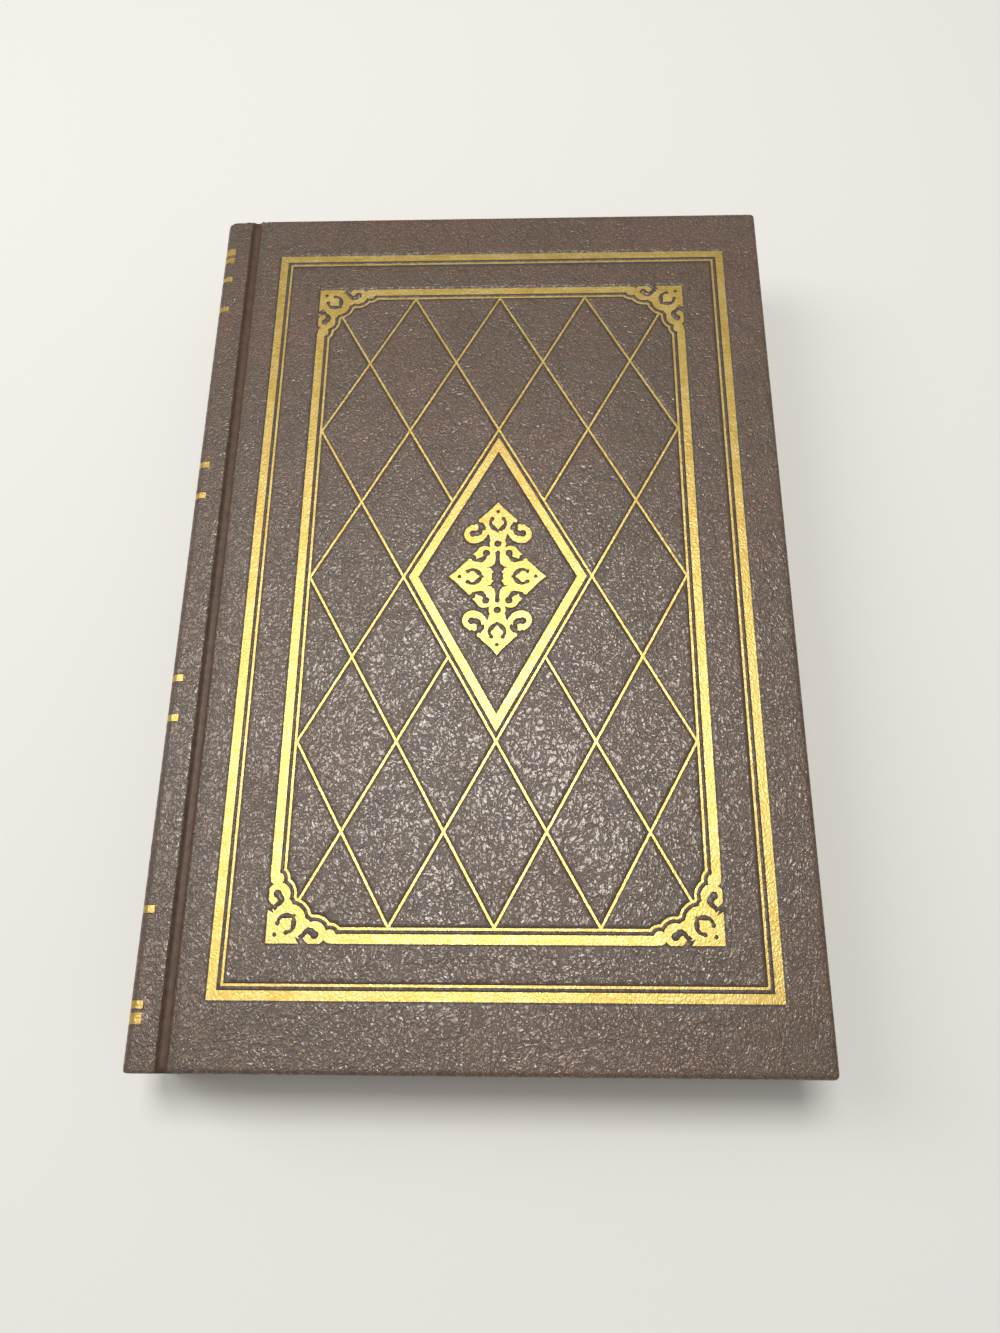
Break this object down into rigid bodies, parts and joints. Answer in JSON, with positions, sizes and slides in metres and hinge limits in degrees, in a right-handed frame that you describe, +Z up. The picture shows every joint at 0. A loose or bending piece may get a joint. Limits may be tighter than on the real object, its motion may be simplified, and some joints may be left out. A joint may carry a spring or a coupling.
{
  "type": "leather-bound book",
  "caption": "Closed case-bound book in dark grained leather, with gilt frames, a lozenge lattice, pierced ornaments and a rounded spine; both covers open.",
  "frame": {"origin": "middle of the closed book's box, on the surface that the back cover rests on", "axes": "+X from the spine to the fore edge, +Y from the tail to the head, +Z up from the back cover to the front cover"},
  "size_m": [0.1566, 0.234, 0.03],
  "materials": {
    "leather": "dark brown pebbled leather, half gloss",
    "gilt": "gold foil pressed into the leather",
    "board": "grey-brown binder's board",
    "pages": "trimmed cream page edges, a little toned",
    "endpaper": "plain cream endpaper",
    "lining": "glued mull and paper",
    "silk": "striped woven end band"
  },
  "bodies": {
    "pages": {"text_block": "pages", "back_lining": "lining", "headband": "silk", "tailband": "silk", "front_flyleaf": "endpaper", "back_flyleaf": "endpaper", "spine_card": "board", "spine_leather": "leather", "spine_rules": "gilt"},
    "front_cover": {"front_leather": "leather", "front_board": "board", "front_pastedown": "endpaper", "outer_frame": "gilt", "inner_frame": "gilt", "lattice": "gilt", "lozenge_frame": "gilt", "centre_ornament": "gilt", "corner_ornaments": "gilt"},
    "back_cover": {"back_leather": "leather", "back_board": "board", "back_pastedown": "endpaper"}
  },
  "joints": [
    {"name": "front_joint", "type": "hinge", "parent": "pages", "child": "front_cover", "pos_m": [-0.0676, 0, 0.03015], "axis": [0, -1, 0], "range_deg": [0, 178]},
    {"name": "back_joint", "type": "hinge", "parent": "pages", "child": "back_cover", "pos_m": [-0.0676, 0, -0.00015], "axis": [0, 1, 0], "range_deg": [0, 178]}
  ]
}
